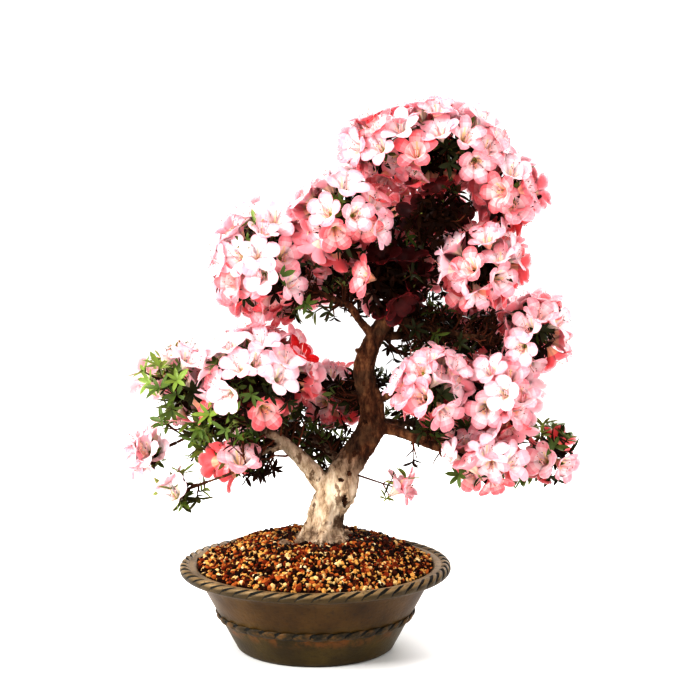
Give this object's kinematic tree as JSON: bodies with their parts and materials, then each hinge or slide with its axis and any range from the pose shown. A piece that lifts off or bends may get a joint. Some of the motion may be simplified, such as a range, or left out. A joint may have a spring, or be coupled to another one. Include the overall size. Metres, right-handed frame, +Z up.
{
  "type": "azalea bonsai in a pot",
  "caption": "Flowering azalea bonsai: a bent tapering trunk, spreading boughs and masses of pink and white blossom over small leaves, in a round stoneware pot with a rope rim.",
  "frame": {"origin": "centre of the pot's flat underside", "axes": "+Z up along the pot's axis, +X to the right and -Y towards the viewer as the plant is pictured"},
  "size_m": [0.5995, 0.3715, 0.7273],
  "materials": {
    "glaze": "brown half-gloss glaze",
    "soil": "loose baked-clay grit",
    "bark": "rough grey-brown bark",
    "blossom": "thin petals and leaves"
  },
  "bodies": {
    "root": {"pot": "glaze", "soil": "soil", "trunk": "bark", "left_low_bough": "bark", "left_far_bough": "bark", "left_under_bough": "bark", "left_drop_bough": "bark", "left_tip_bough": "bark", "right_low_bough": "bark", "right_outer_low_bough": "bark", "right_far_bough": "bark", "right_inner_bough": "bark", "right_upper_bough": "bark", "right_mid_bough": "bark", "left_upper_bough": "bark", "left_inner_bough": "bark", "crown_right_bough": "bark", "back_left_bough": "bark", "back_upper_bough": "bark", "back_right_bough": "bark", "back_mid_bough": "bark", "back_low_left_bough": "bark", "back_low_right_bough": "bark", "crown_top": "blossom", "crown_right": "blossom", "crown_front": "blossom", "crown_heart": "blossom", "left_upper_inner": "blossom", "left_upper_outer": "blossom", "right_mid": "blossom", "right_outer": "blossom", "right_low_inner": "blossom", "right_low_outer": "blossom", "right_low_front": "blossom", "right_low_far": "blossom", "left_low_main": "blossom", "left_low_far": "blossom", "left_low_drop": "blossom", "left_low_tip": "blossom", "left_low_under": "blossom", "back_left": "blossom", "back_upper": "blossom", "back_right": "blossom", "back_mid": "blossom", "back_low_left": "blossom", "back_low_right": "blossom", "trunk_shoot": "blossom"}
  },
  "joints": []
}
